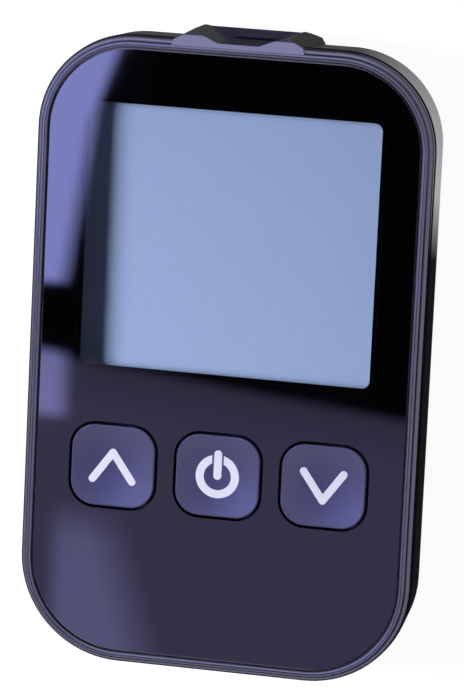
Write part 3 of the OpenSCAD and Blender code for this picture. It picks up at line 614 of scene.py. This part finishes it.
def print_symbol(name, node_name, body, outlines, flip=False):
    """Prints one piece on a key, from flat faces drawn round the middle of its top."""
    low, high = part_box(node_name)
    middle = (low + high) / 2
    height = key_surface(node_name)
    bm = bmesh.new()
    for outline in outlines:
        spots = [Vector((middle.x + p.x, middle.y + (-p.y if flip else p.y))) for p in outline]
        flat = [bm.verts.new((s.x, s.y, 0)) for s in spots]
        bm.faces.new(flat)
    bmesh.ops.remove_doubles(bm, verts=bm.verts[:], dist=SAME_POINT)
    # More points let the print follow the key's top.
    bmesh.ops.triangulate(bm, faces=bm.faces[:])
    bmesh.ops.subdivide_edges(bm, edges=bm.edges[:], cuts=1)
    bmesh.ops.triangulate(bm, faces=bm.faces[:])
    for v in bm.verts:
        v.co.z = height(v.co.x, v.co.y) - PRINT_SINK
    bmesh.ops.recalc_face_normals(bm, faces=bm.faces[:])
    if sum(f.normal.z for f in bm.faces) > 0:
        bmesh.ops.reverse_faces(bm, faces=bm.faces[:])
    top = bmesh.ops.extrude_face_region(bm, geom=bm.faces[:])
    for v in (g for g in top["geom"] if isinstance(g, bmesh.types.BMVert)):
        v.co.z += PRINT_SINK + PRINT_RISE
    bmesh.ops.recalc_face_normals(bm, faces=bm.faces[:])
    mesh = bpy.data.meshes.new(name)
    bm.to_mesh(mesh)
    bm.free()
    piece = bpy.data.objects.new(name, mesh)
    scene.collection.objects.link(piece)
    mesh.materials.append(ink_pale)
    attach(piece, body)
    print(name, "has", len(mesh.polygons), "faces")


print("the print stands", round(PRINT_RISE / MM, 3), "mm proud")

# %% Three symbols
ARROW_REACH = 3.0 * MM
ARROW_RISE = 4.2 * MM
RING_OUTER = 3.27 * MM
RING_INNER = 2.05 * MM
RING_GAP = 1.75 * MM
BAR_START = 0.1 * MM
BAR_END = 3.35 * MM
BAR_WIDTH = 1.2 * MM

ink_pale = moulded("ink_pale", rgb(0.86, 0.85, 0.97), rgb(0.90, 0.89, 0.98), 0.42,
                   0.06 * MM, 0.001 * MM)
arrow = arrow_outline(ARROW_REACH, ARROW_RISE, STROKE)
ring = ring_faces(RING_OUTER, RING_INNER, RING_GAP)
bar = bar_outline((0, BAR_START), (0, BAR_END), BAR_WIDTH)
print_symbol("symbol_up", "button_up", "key_up", [arrow])
print_symbol("symbol_down", "button_down", "key_down", [arrow], flip=True)
print_symbol("symbol_power", "button_power", "key_power", ring + [bar])

# %% [markdown]
# ## Floor
#
# The meter lies on a plain white floor. A floor that is only lit turns grey, so
# for the camera it gets a share of its own light, and the rest is lit as usual:
# that keeps the shadow. The light that it throws on the meter stays that of
# plain white paper. In the picture, the side of the meter mirrors white paper
# only near its upper right corner and dark elsewhere, so for glossy rays the floor
# is dark except beside that corner. From below, the floor is clear, to show the
# meter's back.

# %% Studio sheets
FLOOR_HALF = 4.0
FLOOR_GAP = 0.05 * MM


def flat_piece(name, corners, material):
    """A flat sheet through the corners, which belongs to the studio."""
    mesh = bpy.data.meshes.new(name)
    mesh.from_pydata([tuple(c) for c in corners], [], [tuple(range(len(corners)))])
    sheet = bpy.data.objects.new(name, mesh)
    scene.collection.objects.link(sheet)
    mesh.materials.append(material)
    return sheet


print("the floor reaches", FLOOR_HALF, "m each way")


# %% What each ray sees of the floor
def seen_ray(tree):
    """1 for rays that end in the picture, straight or by way of a mirror or glass."""
    path = put(tree, "LightPath")
    seen = path.outputs["Is Camera Ray"]
    for kind in ("Is Glossy Ray", "Is Transmission Ray"):
        seen = math_node(tree, "MAXIMUM", seen, path.outputs[kind])
    return seen


# How bright mirrors see the floor away from the white corner.
DARK_FOR_MIRRORS = 0.02
PAPER_UP = (14.5 * MM, 24 * MM)
PAPER_RIGHT = (15 * MM, 32 * MM)


def corner_light(tree):
    """How bright mirrors see the floor: white beside the upper right corner, else dark."""
    spot = put(tree, "SeparateXYZ", Vector=place(tree))
    up = spread(tree, spot.outputs["Y"], 0.0, 1.0, *PAPER_UP)
    right = spread(tree, spot.outputs["X"], 0.12, 1.0, *PAPER_RIGHT)
    return math_node(tree, "ADD", DARK_FOR_MIRRORS, math_node(tree, "MULTIPLY", up, right))


print("mirrors see white paper beyond y =", round(PAPER_UP[1] / MM, 1), "mm")

# %% Floor
paper, tree, out = blank("paper")
fibre = grain(tree, 2 * MM, 3.0)
paper_white = blend(tree, spread(tree, fibre, 0.0, 1.0), rgb(0.78, 0.78, 0.80),
                    rgb(0.80, 0.80, 0.82))
lit = put(tree, "BsdfDiffuse", Color=paper_white)
thin = put(tree, "BsdfDiffuse", Color=rgb(0.22, 0.22, 0.23))
own = put(tree, "Emission", Color=rgb(1, 1, 1), Strength=0.95)
shown = put(tree, "AddShader", i0=thin.outputs[0], i1=own.outputs[0])
mirrored = put(tree, "Emission", Color=rgb(1.0, 0.94, 0.99), Strength=corner_light(tree))
floor_path = put(tree, "LightPath")
shown_mix = put(tree, "MixShader", i0=floor_path.outputs["Is Glossy Ray"],
                i1=shown.outputs[0], i2=mirrored.outputs[0])
paper_mix = put(tree, "MixShader", i0=seen_ray(tree), i1=lit.outputs[0],
                i2=shown_mix.outputs[0])
from_below = put(tree, "MixShader", i0=put(tree, "NewGeometry").outputs["Backfacing"],
                 i1=paper_mix.outputs[0], i2=put(tree, "BsdfTransparent").outputs[0])
tree.links.new(from_below.outputs[0], out.inputs[0])
floor = flat_piece("floor", [(x * FLOOR_HALF, y * FLOOR_HALF, 0)
                             for x, y in ((-1, -1), (1, -1), (1, 1), (-1, 1))], paper)
floor.location.z = -FLOOR_GAP
print("floor of", 2 * FLOOR_HALF, "m,", round(FLOOR_GAP / MM, 3), "mm under the meter")

# %% [markdown]
# ## Studio
#
# A black mirror shows the room, so the room is what we light. Above the meter
# hangs a black flag, which keeps the panel black round the display. A tall
# softbox on the left shows in the panel's corner, and a sheet of grey card
# shows in its lower half, lit unevenly. They hang where the panel mirrors the
# camera, 0.4 m up. One more card hangs beyond the strip end, for the rounded
# edges there. All could be lamps, but a sheet with an emission material can
# fade toward one edge, and can glow for mirrors only.

# %% How a card glows
HANG = 0.40


def card_glow(name, colour, strength, all_of=(), any_of=()):
    """Light for mirrors only, which adds to what hangs behind the card. An edge is
    (ax, ay, start, end): it goes from 0 to 1 where ax x + ay y goes from start to end,
    in metres. The light shines inside all of the first edges and any of the second."""
    mat, tree, out = blank(name)
    parts = put(tree, "SeparateXYZ", Vector=place(tree))

    def step(ax, ay, start, end):
        dot = math_node(tree, "ADD", math_node(tree, "MULTIPLY", parts.outputs["X"], ax),
                        math_node(tree, "MULTIPLY", parts.outputs["Y"], ay))
        return spread(tree, dot, 0.0, 1.0, start, end)

    level = 1.0
    for edge in all_of:
        level = math_node(tree, "MULTIPLY", level, step(*edge))
    either = None
    for edge in any_of:
        either = step(*edge) if either is None else math_node(tree, "MAXIMUM", either,
                                                              step(*edge))
    if either is not None:
        level = math_node(tree, "MULTIPLY", level, either)
    glow = put(tree, "Emission", Color=colour,
               Strength=math_node(tree, "MULTIPLY", level, strength))
    clear = put(tree, "BsdfTransparent")
    added = put(tree, "AddShader", i0=glow.outputs[0], i1=clear.outputs[0])
    shader = put(tree, "MixShader", i0=put(tree, "LightPath").outputs["Is Glossy Ray"],
                 i1=clear.outputs[0], i2=added.outputs[0])
    tree.links.new(shader.outputs[0], out.inputs[0])
    return mat


def card(name, material, x_low, x_high, y_low, y_high, height):
    """A flat card over the given place."""
    return flat_piece(name, [(x_low, y_low, height), (x_low, y_high, height),
                             (x_high, y_high, height), (x_high, y_low, height)], material)


print("cards glow for mirrors only")

# %% Black flag
FLAG_HANG = HANG + 20 * MM

flag_dark, tree, out = blank("flag_dark")
felt = grain(tree, 3 * MM, 3.0)
felt_black = put(tree, "Emission", Color=rgb(0.6, 0.7, 1.0),
                 Strength=spread(tree, felt, 0.025, 0.035))
flag_shader = put(tree, "MixShader", i0=put(tree, "LightPath").outputs["Is Camera Ray"],
                  i1=felt_black.outputs[0], i2=put(tree, "BsdfTransparent").outputs[0])
tree.links.new(flag_shader.outputs[0], out.inputs[0])
card("flag", flag_dark, -0.24, 0.04, -0.26, 0.08, FLAG_HANG)
print("flag hangs", FLAG_HANG, "m up")

# %% Softbox and sheet in the panel
SHEET_VIOLET = rgb(0.55, 0.49, 1.0)
SHEET_TOP = (-0.095, -1, 0.0940, 0.0970)
CARD_GAP = 2 * MM

card("strip", card_glow("strip_light", rgb(0.38, 0.41, 1.0), 12.9,
                        all_of=[(0, 1, -0.0675, -0.0650)],
                        any_of=[(-1, 0.35, 0.1083, 0.1114), (-1, 0.139, 0.1130, 0.1177)]),
     -0.32, -0.09, -0.070, 0.06, HANG)
card("sheet", card_glow("sheet_grey", SHEET_VIOLET, 1.2, all_of=[SHEET_TOP]),
     -0.16, 0.0, -0.20, -0.080, HANG)
card("sheet_low", card_glow("sheet_low_grey", SHEET_VIOLET, 0.4,
                            all_of=[(-0.095, -1, 0.0980, 0.1080)]),
     -0.16, 0.0, -0.20, -0.084, HANG + CARD_GAP)
print("the softbox and the sheet hang", HANG, "m up")

# %% Brighter places and the far card
card("patch", card_glow("patch_light", rgb(0.41, 0.43, 1.0), 7.2,
                        all_of=[SHEET_TOP, (-1, 0, 0.1222, 0.1268),
                                (0, 1, -0.1000, -0.0970)]),
     -0.15, -0.115, -0.105, -0.080, HANG + 2 * CARD_GAP)
card("glow_low", card_glow("glow_low_light", rgb(0.45, 0.45, 1.0), 2.8,
                           all_of=[(-1, -0.3, 0.1450, 0.1563), (0, -1, 0.1190, 0.1280),
                                   (1, 0, -0.1280, -0.1240)]),
     -0.15, -0.09, -0.20, -0.115, HANG + 3 * CARD_GAP)
card("back", card_glow("back_light", rgb(0.62, 0.62, 1.0), 4.2,
                       all_of=[(0, 1, 0.10, 0.14), (-1, 0, -0.08, -0.02)]),
     -0.40, 0.10, 0.08, 0.40, HANG)
print("cards that overlap hang", round(CARD_GAP / MM, 2), "mm apart")

# %% [markdown]
# ## Lamps
#
# Two round softboxes light what isn't a mirror: the display, the keys and the
# symbols. The left one does nearly all of it. It hangs low, so the rim of the
# window throws a soft shadow on the display's left edge. It is kept out of the
# mirrors, where the cards already show. The right one only fills in a little.

# %% Lamps
def softbox(name, place_at, size, watts, colour):
    """A round soft lamp that looks at the meter."""
    lamp = bpy.data.lights.new(name, "AREA")
    lamp.shape = "DISK"
    lamp.size = size
    lamp.energy = watts
    lamp.color = colour
    holder = bpy.data.objects.new(name, lamp)
    holder.location = place_at
    holder.rotation_euler = (Vector((0, 0, 0.01)) - Vector(place_at)).to_track_quat(
        "-Z", "Y").to_euler()
    scene.collection.objects.link(holder)
    return holder


lamp_left = softbox("lamp_left", (-0.62, 0.03, 0.35), size=0.26, watts=8.6,
                    colour=(0.93, 0.93, 1.0))
lamp_left.visible_glossy = False
softbox("lamp_right", (0.80, -0.16, 0.19), size=0.22, watts=0.2, colour=(1.0, 0.90, 0.97))
print("lamps:", [lamp.name for lamp in bpy.data.lights])

# %% [markdown]
# ## Room
#
# What lies beyond the cards and the floor is the room. In the picture and
# through glass it is plain white. The meter gets only a weak even light from
# it, since the lamps do the lighting. The black shells mirror a violet tent:
# bright overhead, dimmer toward the horizon, and not so dim behind the foot
# end. So their rounded edges show as pale lines between darker ones.

# %% Room
world = bpy.data.worlds.new("room")
scene.world = world
world.use_nodes = True
tree = world.node_tree
tree.nodes.clear()
soft = put(tree, "Background", Color=rgb(0.86, 0.86, 1.0), Strength=0.05)
white = put(tree, "Background", Color=rgb(1, 1, 1), Strength=1.0)
look = put(tree, "SeparateXYZ", Vector=put(tree, "TexCoord").outputs["Generated"])
overhead = spread(tree, look.outputs["Z"], 1.7, 3.4, 0.15, 0.50)
at_foot = spread(tree, look.outputs["Y"], 1.8, 0.0, -0.8, -0.3)
tent = put(tree, "Background", Color=rgb(0.80, 0.79, 1.0),
           Strength=math_node(tree, "MAXIMUM", overhead, at_foot))
path = put(tree, "LightPath")
around = put(tree, "MixShader", i0=path.outputs["Is Glossy Ray"], i1=white.outputs[0],
             i2=tent.outputs[0])
room = put(tree, "MixShader", i0=seen_ray(tree), i1=soft.outputs[0], i2=around.outputs[0])
world_out = tree.nodes.new("ShaderNodeOutputWorld")
tree.links.new(room.outputs[0], world_out.inputs[0])
scene.view_settings.view_transform = "Standard"
print("room:", world.name, "and view", scene.view_settings.view_transform)
